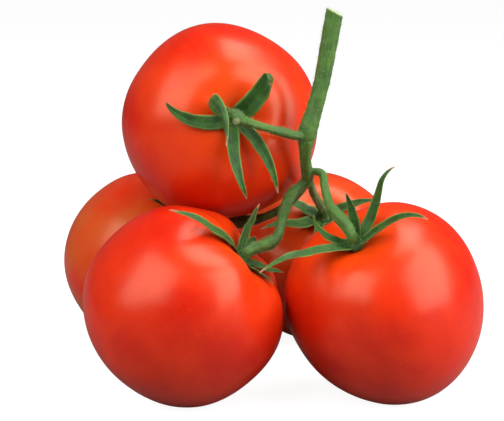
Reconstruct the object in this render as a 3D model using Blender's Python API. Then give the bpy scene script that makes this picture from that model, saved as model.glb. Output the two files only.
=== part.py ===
"""Tomatoes on the vine: a truss of five ripe fruits on one cut green stem.

The bunch rests as it would on a table. Four fruits stand on small flat spots at Z = 0, the
fifth lies on top of them, and the cut end of the stem points up.

Lengths are millimetres and angles are degrees, until a mesh is made in metres. A heading of 0
faces -Y, a heading of 90 faces +X, and a rise of 90 faces up.
"""
import math

import bmesh
import bpy
from mathutils import Quaternion, Vector

MM = 0.001
UP = Vector((0.0, 0.0, 1.0))
FOOTPRINT_MIDDLE = Vector((4.9, 13.4, 0.0))   # this point of the tables below becomes the origin

# ---- fruit: the radius follows the angle from the stem end ----
SQUARENESS = 2.25       # 2 is a plain ellipse, more is squarer in the shoulders
SCAR_DEPTH = 0.7        # the small hollow at the blossom end
SCAR_SPREAD = 0.16
RIB_COUNT = 5           # soft ribs that run out of the dimple
RIB_ANGLE = 0.62
RIB_SPREAD = 0.33
TAPER = 0.02            # a little more radius at the stem end than at the blossom end
FRUIT_RINGS = 18
FRUIT_SIDES = 28
FLAT_SNAP = 0.35        # points this close to the table are put on it before the flat spot is cut

# ---- calyx: a small receptacle with free sepals around it ----
HUB_GAP = 0.6          # from the fruit's skin to the underside of the receptacle
HUB_HEIGHT = 2.9
HUB_TOP_RADIUS = 1.9
SEPAL_START = 2.6       # from the middle of the receptacle
SEPAL_LIFT = 1.9        # from the fruit's skin at the stem end
SEPAL_GAP = 1.1        # from the fruit's skin to the middle of the blade
BLADE_THICKNESS = 0.8
SEPAL_SECTIONS = 8
SEPAL_STEPS = 28
STALK_GAP = 0.8         # from the receptacle's top to the end of the stalk
ARRIVAL = 3.0           # length of the last run of a stalk, straight along the fruit's axis

# name: centre, heading and rise of the stem end, radius, half height, lobes, rib height,
# rib turn, and the depth and the spread in radians of the dimple at the stem end.
# A lobe is a count around the fruit, a height as a part of the radius, and a turn.
FRUITS = {
    "top": ((-11.9, 10.5, 93.7), 11, 13, 35.6, 33.2, ((3, 0.010, 31), (5, 0.011, 46)),
            0.006, 0, 5.0, 0.27),
    "front_left": ((-24.9, -32.0, 35.1), 85, 41, 34.6, 32.9, ((2, 0.018, -5), (3, 0.026, -121)),
                   0.030, 89, 7.5, 0.32),
    "front_right": ((47.7, -25.6, 34.1), -40, 54, 34.0, 34.6, ((2, 0.016, -94), (3, 0.036, -35)),
                    0.006, 0, 5.0, 0.27),
    "back_left": ((-39.3, 42.2, 33.4), 62, 36, 34.5, 30.4, ((3, 0.008, -64), (5, 0.010, -59)),
                  0.006, 0, 5.0, 0.27),
    "back_middle": ((25.6, 61.0, 31.4), 5, 46, 32.9, 30.8, ((2, 0.018, 90),),
                    0.006, 0, 5.0, 0.27),
}

# azimuth around the stem end, length, width, rise, bend, veer, curl of the tip, twist
SEPALS = {
    "top": (
        (66, 39, 4.0, 5, 230, -80, -80, 0),
        (108, 26, 4.4, 15, -27, -71, 66, 20),
        (165, 30, 3.9, 30, -30, 45, -60, 0),
        (221, 30, 3.7, 35, -60, -31, 10, 0),
        (304, 26, 6.0, 35, -5, 55, 235, 0),
    ),
    "front_left": (
        (48, 36, 4.2, 8, -25, -28, -20, 25),
        (145, 13, 4.2, 10, 20, 20, -30, 0),
        (200, 15, 4.2, 20, 15, 10, -5, 0),
        (270, 20, 4.2, 20, -20, 0, 20, 0),
        (317, 19, 4.0, 47, 20, 0, 0, 0),
    ),
    "front_right": (
        (22, 17, 3.2, 30, 50, 12, 10, 0),
        (115, 20, 3.0, 20, 90, -14, 20, 0),
        (150, 36, 4.4, 35, -15, 10, -20, 0),
        (286, 33, 4.4, 36, -11, -9, -65, 0),
        (342, 29, 4.6, 21, 60, -13, -94, 10),
    ),
    "back_left": (
        (54, 26, 3.4, 5, -10, 0, 0, 0),
        (112, 18, 4.2, 10, -20, -10, 20, 0),
        (165, 13, 4.2, 5, -10, 10, 10, 0),
        (235, 10, 4.0, 5, -10, 0, 10, 0),
        (310, 11, 4.0, 5, -10, 10, 10, 0),
    ),
    "back_middle": (
        (75, 16, 4.2, 30, 0, 0, 0, 0),
        (124, 34, 4.2, 25, 30, -4, -60, 0),
        (160, 18, 3.0, 30, -10, 10, -20, 0),
        (230, 18, 4.2, 20, -10, 0, 20, 0),
        (290, 20, 3.2, 24, -16, -20, -20, 0),
    ),
}

# The stem, from its cut end down to its last node: X, Y, Z and the radius there.
MAIN_STEM = (
    (28.7, -18.0, 138.2, 3.1),
    (26.6, -18.3, 126.0, 3.0),
    (24.4, -19.0, 113.5, 2.85),
    (21.6, -20.2, 103.0, 2.9),
    (19.2, -21.0, 94.6, 3.3),
    (18.6, -19.0, 87.0, 1.95),
    (19.2, -15.0, 81.5, 2.1),
    (19.9, -12.0, 76.8, 1.9),
)
# The stalks, from the stem to the knuckle and on: the last points come from the fruit.
STALKS = {
    "top": (
        (15.9, -23.4, 94.6, 1.6),
        (12.0, -25.0, 95.8, 1.7),
        (5.0, -28.5, 98.2, 1.45),
        (-1.5, -33.0, 101.0, 1.6),
        (-5.8, -35.0, 103.0, 2.6),
    ),
    "front_left": (
        (17.4, -12.4, 74.6, 1.7),
        (14.6, -13.8, 72.4, 2.1),
        (12.1, -16.0, 68.0, 2.1),
        (10.4, -18.5, 62.7, 1.8),
        (9.2, -22.2, 58.9, 1.75),
        (6.2, -24.6, 56.6, 2.3),
    ),
    "front_right": (
        (22.2, -14.2, 80.2, 1.3),
        (25.0, -15.8, 79.4, 1.5),
        (25.7, -21.0, 75.3, 1.5),
        (27.2, -29.0, 70.8, 1.7),
        (28.6, -33.0, 69.2, 2.2),
        (32.0, -38.5, 66.6, 2.2),
    ),
    "back_middle": (
        (21.2, -8.9, 73.6, 1.3),
        (22.2, 0.0, 69.5, 1.4),
        (24.0, 15.0, 64.0, 1.35),
        (26.2, 30.0, 58.5, 1.8),
        (26.6, 35.5, 57.0, 2.0),
    ),
    "back_left": (
        (16.6, -9.6, 71.0, 1.3),
        (12.0, -5.0, 65.5, 1.5),
        (5.0, 1.0, 60.5, 1.5),
        (-3.0, 9.0, 56.8, 1.9),
        (-8.5, 17.0, 55.6, 2.0),
        (-12.5, 24.0, 54.4, 2.0),
    ),
}
KNUCKLE_TO_FRUIT_RADIUS = 1.9
STALK_END_RADIUS = 1.9
RINGS_PER_POINT = 5


def direction(heading, rise):
    """The unit vector that a heading and a rise give."""
    h, r = math.radians(heading), math.radians(rise)
    return Vector((math.sin(h) * math.cos(r), -math.cos(h) * math.cos(r), math.sin(r)))


class Fruit:
    """One tomato: its place, and its radius in every direction from its centre."""

    def __init__(self, centre, heading, rise, radius, half_height, lobes, rib, rib_turn,
                 dimple, spread):
        self.centre = Vector(centre)
        self.axis = direction(heading, rise)
        self.top = (UP - self.axis * self.axis.dot(UP)).normalized()
        self.left = self.axis.cross(self.top)
        self.radius, self.half_height = radius, half_height
        self.lobes, self.rib, self.rib_turn = lobes, rib, math.radians(rib_turn)
        self.dimple, self.spread = dimple, spread

    def reach(self, polar, around):
        """The distance from the centre to the skin, polar radians from the stem end."""
        across = abs(math.sin(polar)) / self.radius
        along = abs(math.cos(polar)) / self.half_height
        r = (across ** SQUARENESS + along ** SQUARENESS) ** (-1 / SQUARENESS)
        r *= 1 + TAPER * math.cos(polar)
        waves = sum(height * math.cos(count * around - math.radians(turn))
                    for count, height, turn in self.lobes)
        r *= 1 + waves * math.sin(polar) ** 1.5
        band = math.exp(-((polar - RIB_ANGLE) / RIB_SPREAD) ** 2)
        r *= 1 + self.rib * math.cos(RIB_COUNT * (around - self.rib_turn)) * band
        r -= self.dimple * math.exp(-(polar / self.spread) ** 2)
        r -= SCAR_DEPTH * math.exp(-((math.pi - polar) / SCAR_SPREAD) ** 2)
        return r

    def reach_towards(self, local):
        """The same, towards a point given in the fruit's own left, top and axis lengths."""
        polar = math.acos(max(-1.0, min(1.0, local.z / local.length)))
        return self.reach(polar, math.atan2(local.x, local.y))

    def place(self, local):
        """A point of the fruit's own frame, in the bunch."""
        return self.centre + self.left * local.x + self.top * local.y + self.axis * local.z


def around_axis(azimuth):
    """The unit direction at an azimuth around the stem end: 0 is the top, 90 the left."""
    return Vector((math.sin(azimuth), math.cos(azimuth), 0.0))


def sepal_line(fruit, azimuth, length, rise, bend, veer, curl):
    """The middle line of one sepal, in the fruit's own frame, kept off the skin."""
    hub = fruit.reach(0.0, 0.0)
    point = around_axis(math.radians(azimuth)) * SEPAL_START + UP * (hub + SEPAL_LIFT)
    points = [point.copy()]
    for i in range(SEPAL_STEPS):
        s = (i + 0.5) / SEPAL_STEPS
        lift = math.radians(rise + bend * s + curl * max(0.0, (s - 0.6) / 0.4) ** 1.5)
        outward = around_axis(math.radians(azimuth + veer * s))
        point = point + (outward * math.cos(lift) + UP * math.sin(lift)) * (length / SEPAL_STEPS)
        lowest = fruit.reach_towards(point) + SEPAL_GAP
        if point.length < lowest:
            point = point * (lowest / point.length)
        points.append(point.copy())
    return points


def half_width(width, s):
    """Half the width of a sepal at s, which runs from 0 at its base to 1 at its tip."""
    return 0.5 * width * (1 - s) ** 0.8 * (0.75 + 1.2 * s) / 0.84


def smooth_route(route, steps):
    """A Catmull-Rom curve through the route's points, each X, Y, Z and a radius."""
    ends = [Vector(p) for p in route]
    ends = [ends[0] * 2 - ends[1]] + ends + [ends[-1] * 2 - ends[-2]]
    curve = []
    for a, b, c, d in zip(ends, ends[1:], ends[2:], ends[3:]):
        for i in range(steps):
            t = i / steps
            curve.append(0.5 * (b * 2 + (c - a) * t + (a * 2 - b * 5 + c * 4 - d) * t ** 2
                                + (b * 3 - a - c * 3 + d) * t ** 3))
    curve.append(ends[-2])
    return curve


def make_material(name, colour, roughness):
    """A Principled material; no piece of a plant is metallic."""
    material = bpy.data.materials.new(name)
    material.use_nodes = True
    shader = material.node_tree.nodes["Principled BSDF"]
    shader.inputs["Base Color"].default_value = (*colour, 1.0)
    shader.inputs["Roughness"].default_value = roughness
    shader.inputs["Metallic"].default_value = 0.0
    return material


def add_object(name, data, material):
    """Link mesh or curve data to the scene as the object that is the node."""
    data.materials.append(material)
    part = bpy.data.objects.new(name, data)
    bpy.context.scene.collection.objects.link(part)
    return part


def to_metres(point):
    """A point of the tables, in metres from the bunch's origin."""
    return (Vector(point[:3]) - FOOTPRINT_MIDDLE) * MM


def make_tomato(name, fruit, material):
    """Rings of points around the fruit's axis, with a flat spot where it meets the table."""
    mesh = bmesh.new()
    rings = []
    for i in range(1, FRUIT_RINGS):
        polar = math.pi * i / FRUIT_RINGS
        ring = []
        for j in range(FRUIT_SIDES):
            around = math.tau * j / FRUIT_SIDES
            out = around_axis(around) * math.sin(polar) + UP * math.cos(polar)
            point = fruit.place(out * fruit.reach(polar, around))
            if abs(point.z) < FLAT_SNAP:
                point.z = 0.0
            ring.append(mesh.verts.new(to_metres(point)))
        rings.append(ring)
    stem_end = mesh.verts.new(to_metres(fruit.place(UP * fruit.reach(0.0, 0.0))))
    blossom_end = mesh.verts.new(to_metres(fruit.place(-UP * fruit.reach(math.pi, 0.0))))
    for j in range(FRUIT_SIDES):
        k = (j + 1) % FRUIT_SIDES
        mesh.faces.new((stem_end, rings[0][j], rings[0][k]))
        for upper, lower in zip(rings, rings[1:]):
            mesh.faces.new((upper[j], lower[j], lower[k], upper[k]))
        mesh.faces.new((rings[-1][j], blossom_end, rings[-1][k]))
    cut_flat_spot(mesh)
    return finish_mesh(name, mesh, material)


def cut_flat_spot(mesh):
    """Cut away what is below Z = 0 and close the cut with one flat face."""
    everything = mesh.verts[:] + mesh.edges[:] + mesh.faces[:]
    cut = bmesh.ops.bisect_plane(mesh, geom=everything, dist=1e-7, plane_co=(0, 0, 0),
                                 plane_no=(0, 0, -1), clear_outer=True)
    rim = [item for item in cut["geom_cut"] if isinstance(item, bmesh.types.BMEdge)]
    if rim:
        bmesh.ops.contextual_create(mesh, geom=rim)


def finish_mesh(name, mesh, material):
    """Turn a finished bmesh into an object with its faces outward."""
    bmesh.ops.recalc_face_normals(mesh, faces=mesh.faces)
    data = bpy.data.meshes.new(name)
    mesh.to_mesh(data)
    mesh.free()
    return add_object(name, data, material)


def sepal_sections(fruit, azimuth, length, width, rise, bend, veer, curl, twist):
    """Left, upper, right and lower points of one blade at each section, and its tip."""
    line = sepal_line(fruit, azimuth, length, rise, bend, veer, curl)
    side = around_axis(math.radians(azimuth + 90.0))
    sections = []
    for i in range(SEPAL_STEPS):
        forward = (line[i + 1] - line[max(i - 1, 0)]).normalized()
        side = (side - forward * side.dot(forward)).normalized()
        s = i / SEPAL_STEPS
        if i % (SEPAL_STEPS // (SEPAL_SECTIONS - 1)) == 0:
            turned = Quaternion(forward, math.radians(twist * s)) @ side
            outward = turned.cross(forward)
            half = turned * half_width(width, s)
            thick = outward * (BLADE_THICKNESS / 2 * (1 - 0.5 * s))
            sections.append((line[i] + half, line[i] + thick, line[i] - half, line[i] - thick))
    return sections, line[-1]


def make_calyx(name, fruit, sepals, material):
    """One closed mesh: a domed receptacle whose rim runs on into the sepals."""
    mesh = bmesh.new()
    skin = fruit.reach(0.0, 0.0)

    def add(point):
        return mesh.verts.new(to_metres(fruit.place(point)))

    upper_rim, lower_rim = [], []
    for sepal in sorted(sepals):
        sections, tip = sepal_sections(fruit, *sepal)
        rows = [[add(point) for point in section] for section in sections]
        for row, following in zip(rows, rows[1:]):
            for k in range(4):
                mesh.faces.new((row[k], row[k - 3], following[k - 3], following[k]))
        end = add(tip)
        for k in range(4):
            mesh.faces.new((rows[-1][k], rows[-1][k - 3], end))
        left, upper, right, lower = rows[0]
        upper_rim += [right, upper, left]
        lower_rim += [right, lower, left]
    top_ring = []
    for vertex in upper_rim:
        out = away_from_axis(fruit, vertex)
        top_ring.append(add(out * HUB_TOP_RADIUS + UP * (skin + HUB_HEIGHT)))
    bottom = add(UP * (skin + HUB_GAP))
    count = len(upper_rim)
    for i in range(count):
        j = (i + 1) % count
        mesh.faces.new((upper_rim[i], upper_rim[j], top_ring[j], top_ring[i]))
        mesh.faces.new((lower_rim[j], lower_rim[i], bottom))
    mesh.faces.new(top_ring)
    return finish_mesh(name, mesh, material)


def away_from_axis(fruit, vertex):
    """The unit direction from the fruit's axis to a vertex, in the fruit's own frame."""
    offset = Vector(vertex.co) / MM + FOOTPRINT_MIDDLE - fruit.centre
    return Vector((offset.dot(fruit.left), offset.dot(fruit.top), 0.0)).normalized()


def make_tube(name, route, sides, material):
    """A curve with a round bevel and filled caps, thick as the route's fourth value says."""
    data = bpy.data.curves.new(name, "CURVE")
    data.dimensions = "3D"
    data.bevel_depth = MM
    data.bevel_resolution = sides // 2 - 2
    data.use_fill_caps = True
    points = smooth_route(route, RINGS_PER_POINT)
    spline = data.splines.new("POLY")
    spline.points.add(len(points) - 1)
    for spot, point in zip(spline.points, points):
        spot.co = (*to_metres(point), 1.0)
        spot.radius = point[3]
    return add_object(name, data, material)


def stalk_route(fruit, route):
    """The stalk's own points, then a short straight arrival on top of the receptacle."""
    end = fruit.place(UP * (fruit.reach(0.0, 0.0) + HUB_HEIGHT + STALK_GAP))
    before = end + fruit.axis * ARRIVAL
    return (*route, (*before, KNUCKLE_TO_FRUIT_RADIUS), (*end, STALK_END_RADIUS))


def build():
    """Make every sub-part of the bunch."""
    skin_red = make_material("tomato_skin", (0.72, 0.05, 0.02), 0.25)
    stem_green = make_material("stem_green", (0.14, 0.26, 0.08), 0.6)
    leaf_green = make_material("calyx_green", (0.07, 0.17, 0.04), 0.6)
    make_tube("main_stem", MAIN_STEM, 10, stem_green)
    for name, numbers in FRUITS.items():
        fruit = Fruit(*numbers)
        make_tomato(f"tomato_{name}", fruit, skin_red)
        make_calyx(f"calyx_{name}", fruit, SEPALS[name], leaf_green)
        make_tube(f"stalk_{name}", stalk_route(fruit, STALKS[name]), 8, stem_green)


for old in list(bpy.data.objects):
    bpy.data.objects.remove(old, do_unlink=True)
build()
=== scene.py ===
# %% [markdown]
# # Tomatoes on the vine
#
# Five ripe tomatoes hang together on one cut green stem. The CAD model holds their places and
# sizes; this script makes how they look. On the real thing there are three kinds of piece: the
# fruits with their tight shiny skin, the calyx of each fruit (a small green star of pointed
# sepals), and the vine, which is the stem with its five stalks.

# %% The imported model
import math

import bpy
import numpy as np
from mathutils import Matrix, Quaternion, Vector, noise
from mathutils.kdtree import KDTree


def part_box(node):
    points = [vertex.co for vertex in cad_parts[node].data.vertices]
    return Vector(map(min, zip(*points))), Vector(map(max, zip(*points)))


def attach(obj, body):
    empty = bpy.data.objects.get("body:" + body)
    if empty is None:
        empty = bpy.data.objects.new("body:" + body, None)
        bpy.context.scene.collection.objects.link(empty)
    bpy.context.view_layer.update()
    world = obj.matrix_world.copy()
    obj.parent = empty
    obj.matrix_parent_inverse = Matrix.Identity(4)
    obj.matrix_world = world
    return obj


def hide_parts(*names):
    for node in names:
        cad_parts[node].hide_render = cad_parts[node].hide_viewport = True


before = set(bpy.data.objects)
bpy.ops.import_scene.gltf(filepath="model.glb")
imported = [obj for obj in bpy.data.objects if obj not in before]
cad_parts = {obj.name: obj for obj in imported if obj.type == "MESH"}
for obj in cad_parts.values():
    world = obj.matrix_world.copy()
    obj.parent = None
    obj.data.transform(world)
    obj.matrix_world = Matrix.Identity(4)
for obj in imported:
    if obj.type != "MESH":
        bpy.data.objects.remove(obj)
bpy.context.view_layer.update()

MM = 0.001                                    # the tables below are in millimetres and degrees
UP = Vector((0.0, 0.0, 1.0))
FOOTPRINT_MIDDLE = Vector((4.9, 13.4, 0.0))   # the tables' point that is the model's origin

# %% [markdown]
# ## The fruits' numbers
#
# A tomato is nearly a squashed ball, so its skin can be written as a radius in every direction
# from its centre. A few numbers tell one fruit from another: where its stem end points, its
# radius and half height, a few broad lobes, and the ribs and the hollow around the stem end.
# Each fruit also has its own ripeness, from orange at 0 to deep red at 1.

# %% One row for each fruit
SQUARENESS, TAPER = 2.25, 0.02
SCAR_DEPTH, SCAR_SPREAD = 0.7, 0.16
RIB_COUNT, RIB_ANGLE, RIB_SPREAD = 5, 0.62, 0.33
# heading and rise of the stem end, radius, half height, two lobes (count, height, turn),
# rib height and turn, depth and spread of the dimple, ripeness
FRUITS = {
    "top": (11, 13, 35.6, 33.2, (3, 0.010, 31), (5, 0.011, 46), 0.006, 0, 5.0, 0.27, 0.80),
    "front_left": (85, 41, 34.6, 32.9, (2, 0.018, -5), (3, 0.026, -121), 0.030, 89, 7.5, 0.32,
                   0.90),
    "front_right": (-40, 54, 34.0, 34.6, (2, 0.016, -94), (3, 0.036, -35), 0.006, 0, 5.0, 0.27,
                    0.95),
    "back_left": (62, 36, 34.5, 30.4, (3, 0.008, -64), (5, 0.010, -59), 0.006, 0, 5.0, 0.27,
                  0.10),
    "back_middle": (5, 46, 32.9, 30.8, (2, 0.018, 90), (2, 0.0, 0), 0.006, 0, 5.0, 0.27, 0.45),
}


def direction(heading, rise):
    """The unit vector that a heading and a rise give: a heading of 0 faces -Y, 90 faces +X."""
    h, r = math.radians(heading), math.radians(rise)
    return Vector((math.sin(h) * math.cos(r), -math.cos(h) * math.cos(r), math.sin(r)))


def around_axis(azimuth):
    """The unit direction at an azimuth around the stem end: 0 is the top, 90 the left."""
    return Vector((math.sin(azimuth), math.cos(azimuth), 0.0))


class Fruit:
    """One tomato: its axes, its skin as a rule, and its centre, which comes from the CAD box."""

    def __init__(self, name, heading, rise, radius, half_height, lobe_a, lobe_b, rib, rib_turn,
                 dimple, spread, ripeness):
        self.name, self.ripeness = name, ripeness
        self.axis = direction(heading, rise)
        self.top = (UP - self.axis * self.axis.dot(UP)).normalized()
        self.left = self.axis.cross(self.top)
        self.radius, self.half_height = radius, half_height
        self.lobes = (lobe_a, lobe_b)
        self.rib, self.rib_turn = rib, math.radians(rib_turn)
        self.dimple, self.spread = dimple, spread
        self.centre = self.centre_from_box()

    def reach(self, polar, around):
        """The distance from the centre to the skin; polar is the angle from the stem end."""
        across = abs(np.sin(polar)) / self.radius
        along = abs(np.cos(polar)) / self.half_height
        r = (across ** SQUARENESS + along ** SQUARENESS) ** (-1 / SQUARENESS)
        r = r * (1 + TAPER * np.cos(polar))
        waves = sum(height * np.cos(count * around - math.radians(turn))
                    for count, height, turn in self.lobes)
        r = r * (1 + waves * abs(np.sin(polar)) ** 1.5)
        band = np.exp(-((polar - RIB_ANGLE) / RIB_SPREAD) ** 2)
        r = r * (1 + self.rib * np.cos(RIB_COUNT * (around - self.rib_turn)) * band)
        r = r - self.dimple * np.exp(-(polar / self.spread) ** 2)
        return r - SCAR_DEPTH * np.exp(-((math.pi - polar) / SCAR_SPREAD) ** 2)

    def reach_towards(self, local):
        """The same, towards a point given in the fruit's own left, top and axis lengths."""
        polar = math.acos(max(-1.0, min(1.0, local.z / local.length)))
        return float(self.reach(polar, math.atan2(local.x, local.y)))

    def centre_from_box(self):
        """The centre at which the rule's skin fills the CAD fruit's box, in millimetres."""
        polar, around = np.meshgrid(np.linspace(0, math.pi, 121), np.linspace(0, math.tau, 181))
        r = self.reach(polar, around)
        local = np.stack([r * np.sin(polar) * np.sin(around), r * np.sin(polar) * np.cos(around),
                          r * np.cos(polar)], axis=-1)
        skin = local @ np.array([self.left, self.top, self.axis])
        low, high = skin.min(axis=(0, 1)), skin.max(axis=(0, 1))
        box_low, box_high = (np.array(corner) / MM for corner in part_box(f"tomato_{self.name}"))
        middle = (box_low + box_high) / 2 - (low + high) / 2
        return Vector((middle[0], middle[1], box_high[2] - high[2]))

    def place(self, local):
        """A point of the fruit's own frame, in millimetres in the model's frame."""
        return self.centre + self.left * local.x + self.top * local.y + self.axis * local.z


fruits = {name: Fruit(name, *numbers) for name, numbers in FRUITS.items()}
for fruit in fruits.values():
    print(f"tomato_{fruit.name} stands at", [round(v, 1) for v in fruit.centre])

# %% [markdown]
# ## Arithmetic with nodes
#
# Both the shape of a fruit and several colours are small formulas. A formula in a node tree is
# a chain of Math nodes, which is slow to write and hard to read. This helper lets Python's own
# operators add those nodes, so the formula in the tree reads like the one on paper.

# %% A number in a node tree


class Field:
    """A number that a node tree works out; arithmetic on it adds Math nodes to the tree."""

    def __init__(self, tree, socket):
        self.tree, self.socket = tree, socket

    def maths(self, operation, *others):
        node = self.tree.nodes.new("ShaderNodeMath")
        node.operation = operation
        for place, value in zip(node.inputs, (self, *others)):
            connect(self.tree, value, place)
        return Field(self.tree, node.outputs[0])

    def __add__(self, other):
        return self.maths("ADD", other)

    def __sub__(self, other):
        return self.maths("SUBTRACT", other)

    def __mul__(self, other):
        return self.maths("MULTIPLY", other)

    def __truediv__(self, other):
        return self.maths("DIVIDE", other)

    def __pow__(self, other):
        return self.maths("POWER", other)

    def bell(self, middle, spread):
        """1 where the number is middle, falling away over spread on both sides."""
        return (((self - middle) / spread) ** 2.0 * -1.0).maths("EXPONENT")


def connect(tree, value, place):
    """Put a field, a socket or a plain value into a node's input."""
    if isinstance(value, Field):
        tree.links.new(value.socket, place)
    elif isinstance(value, bpy.types.NodeSocket):
        tree.links.new(value, place)
    else:
        place.default_value = value


def add_node(tree, kind, inputs=(), **settings):
    """Add a node, set its properties, and fill its inputs by name or number."""
    node = tree.nodes.new(kind)
    for name, value in settings.items():
        setattr(node, name, value)
    for name, value in dict(inputs).items():
        connect(tree, value, node.inputs[name])
    return node


def new_tree(name, kind, inputs, outputs):
    """A node group with its named inputs and outputs; returns it with both end nodes."""
    tree = bpy.data.node_groups.new(name, kind)
    for socket_name, socket_kind in inputs:
        tree.interface.new_socket(socket_name, in_out="INPUT", socket_type=socket_kind)
    for socket_name, socket_kind in outputs:
        tree.interface.new_socket(socket_name, in_out="OUTPUT", socket_type=socket_kind)
    return tree, tree.nodes.new("NodeGroupInput"), tree.nodes.new("NodeGroupOutput")


FLOAT, INT, VECTOR, COLOUR = ("NodeSocketFloat", "NodeSocketInt", "NodeSocketVector",
                              "NodeSocketColor")
GEOMETRY, MATERIAL = "NodeSocketGeometry", "NodeSocketMaterial"
print("Node helpers are ready")

# %% [markdown]
# ## The shape of a fruit, as Geometry Nodes
#
# The fruit's skin follows a rule, so it suits Geometry Nodes: a round ball of points goes in,
# and each point is moved out or in to where the rule puts the skin. The flat spot that a fruit
# gets from its own weight is simply the surface that it rests on: no point may go below it.
# Noise adds the slight unevenness that keeps a real skin's reflections from looking turned.

# %% The tomato tree
TOMATO_INPUTS = (
    ("Segments", INT), ("Rings", INT), ("Radius", FLOAT), ("Half Height", FLOAT),
    ("Lobe A Count", FLOAT), ("Lobe A Height", FLOAT), ("Lobe A Turn", FLOAT),
    ("Lobe B Count", FLOAT), ("Lobe B Height", FLOAT), ("Lobe B Turn", FLOAT),
    ("Rib Height", FLOAT), ("Rib Turn", FLOAT), ("Dimple Depth", FLOAT), ("Dimple Spread", FLOAT),
    ("Unevenness", FLOAT), ("Seed", FLOAT), ("Left", VECTOR), ("Top", VECTOR), ("Axis", VECTOR),
    ("Centre", VECTOR), ("Skin", MATERIAL),
)


def vector_maths(tree, operation, first, second):
    """A Vector Math node's result as a socket; SCALE takes a number as its second value."""
    node = add_node(tree, "ShaderNodeVectorMath", {0: first}, operation=operation)
    connect(tree, second, node.inputs["Scale" if operation == "SCALE" else 1])
    return node.outputs[0]


def build_tomato_tree():
    """The ball of points, the skin's rule, and the fruit's place and attributes."""
    tree, given, result = new_tree("tomato_shape", "GeometryNodeTree", TOMATO_INPUTS,
                                   (("Geometry", GEOMETRY),))
    value = {name: Field(tree, given.outputs[name]) for name, _ in TOMATO_INPUTS}
    ball = add_node(tree, "GeometryNodeMeshUVSphere",
                    {"Segments": value["Segments"], "Rings": value["Rings"], "Radius": 1.0})
    position = tree.nodes.new("GeometryNodeInputPosition").outputs[0]
    parts = add_node(tree, "ShaderNodeSeparateXYZ", {0: position})
    x, y, z = (Field(tree, parts.outputs[i]) for i in range(3))
    polar, around = z.maths("ARCCOSINE"), x.maths("ARCTAN2", y)
    sine, cosine = polar.maths("SINE").maths("ABSOLUTE"), polar.maths("COSINE")
    across = (sine / value["Radius"]) ** SQUARENESS
    along = (cosine.maths("ABSOLUTE") / value["Half Height"]) ** SQUARENESS
    reach = (across + along) ** (-1 / SQUARENESS)
    reach = reach * (cosine * TAPER + 1.0)
    waves = [(around * value[f"Lobe {key} Count"] - value[f"Lobe {key} Turn"]).maths("COSINE")
             * value[f"Lobe {key} Height"] for key in "AB"]
    reach = reach * ((waves[0] + waves[1]) * sine ** 1.5 + 1.0)
    ribs = ((around - value["Rib Turn"]) * RIB_COUNT).maths("COSINE") * value["Rib Height"]
    reach = reach * (ribs * polar.bell(RIB_ANGLE, RIB_SPREAD) + 1.0)
    reach = reach - value["Dimple Depth"] * polar.bell(0.0, value["Dimple Spread"])
    reach = reach - polar.bell(math.pi, SCAR_SPREAD) * SCAR_DEPTH
    bumps = add_node(tree, "ShaderNodeTexNoise",
                     {"Vector": position, "W": value["Seed"], "Scale": 1.6, "Detail": 1.0},
                     noise_dimensions="4D")
    away_from_stem = polar.bell(0.0, value["Dimple Spread"]) * -1.0 + 1.0
    uneven = (Field(tree, bumps.outputs[0]) - 0.5) * value["Unevenness"] * away_from_stem
    reach = reach + uneven
    spots = [vector_maths(tree, "SCALE", value[name].socket, part * reach)
             for name, part in (("Left", x), ("Top", y), ("Axis", z))]
    spot = value["Centre"].socket
    for shift in spots:
        spot = vector_maths(tree, "ADD", spot, shift)
    spot = vector_maths(tree, "MAXIMUM", spot, (-1e6, -1e6, 0.0))
    spot = vector_maths(tree, "SCALE", spot, MM)
    shape = ball.outputs["Mesh"]
    for name, field, data_type in (("polar", polar, "FLOAT"),
                                   ("outward", position, "FLOAT_VECTOR")):
        shape = add_node(tree, "GeometryNodeStoreNamedAttribute",
                         {"Geometry": shape, "Name": name, "Value": field},
                         data_type=data_type, domain="POINT").outputs[0]
    shape = add_node(tree, "GeometryNodeSetPosition",
                     {"Geometry": shape, "Position": spot}).outputs[0]
    shape = add_node(tree, "GeometryNodeSetShadeSmooth", {"Geometry": shape}).outputs[0]
    shape = add_node(tree, "GeometryNodeRealizeInstances", {"Geometry": shape}).outputs[0]
    shape = add_node(tree, "GeometryNodeSetMaterial",
                     {"Geometry": shape, "Material": value["Skin"]}).outputs[0]
    tree.links.new(shape, result.inputs[0])
    return tree


tomato_tree = build_tomato_tree()
print("The tomato tree has", len(tomato_tree.nodes), "nodes")


# %% A plain mesh from a tree


def mesh_from_tree(name, tree, inputs, start=None):
    """Run a tree once on a mesh, and keep its result as an object with a plain mesh."""
    holder = bpy.data.objects.new(name, start or bpy.data.meshes.new(name))
    bpy.context.scene.collection.objects.link(holder)
    modifier = holder.modifiers.new("shape", "NODES")
    modifier.node_group = tree
    for item in tree.interface.items_tree:
        if item.in_out == "INPUT" and item.name in inputs:
            modifier[item.identifier] = inputs[item.name]
    graph = bpy.context.evaluated_depsgraph_get()
    made = bpy.data.meshes.new_from_object(holder.evaluated_get(graph),
                                           preserve_all_data_layers=True, depsgraph=graph)
    bpy.data.objects.remove(holder, do_unlink=True)
    made.name = name
    piece = bpy.data.objects.new(name, made)
    bpy.context.scene.collection.objects.link(piece)
    return piece


# %% [markdown]
# ## Colour that several pieces share
#
# Skin, stem and sepals are all grown, and none is one flat colour. Three effects come back on
# them: a cloudy mottle between two colours, tiny pale dots, and fine fibres that run along a
# stem or a sepal. Each is a shader node group, made once and set per material.

# %% Shader groups: mottle, dots and fibres


def noise_value(tree, vector, scale, detail=2.0, roughness=0.5):
    """A noise texture's value, as a field."""
    made = add_node(tree, "ShaderNodeTexNoise", {"Vector": vector, "Scale": scale,
                                                 "Detail": detail, "Roughness": roughness})
    return Field(tree, made.outputs[0])


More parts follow.
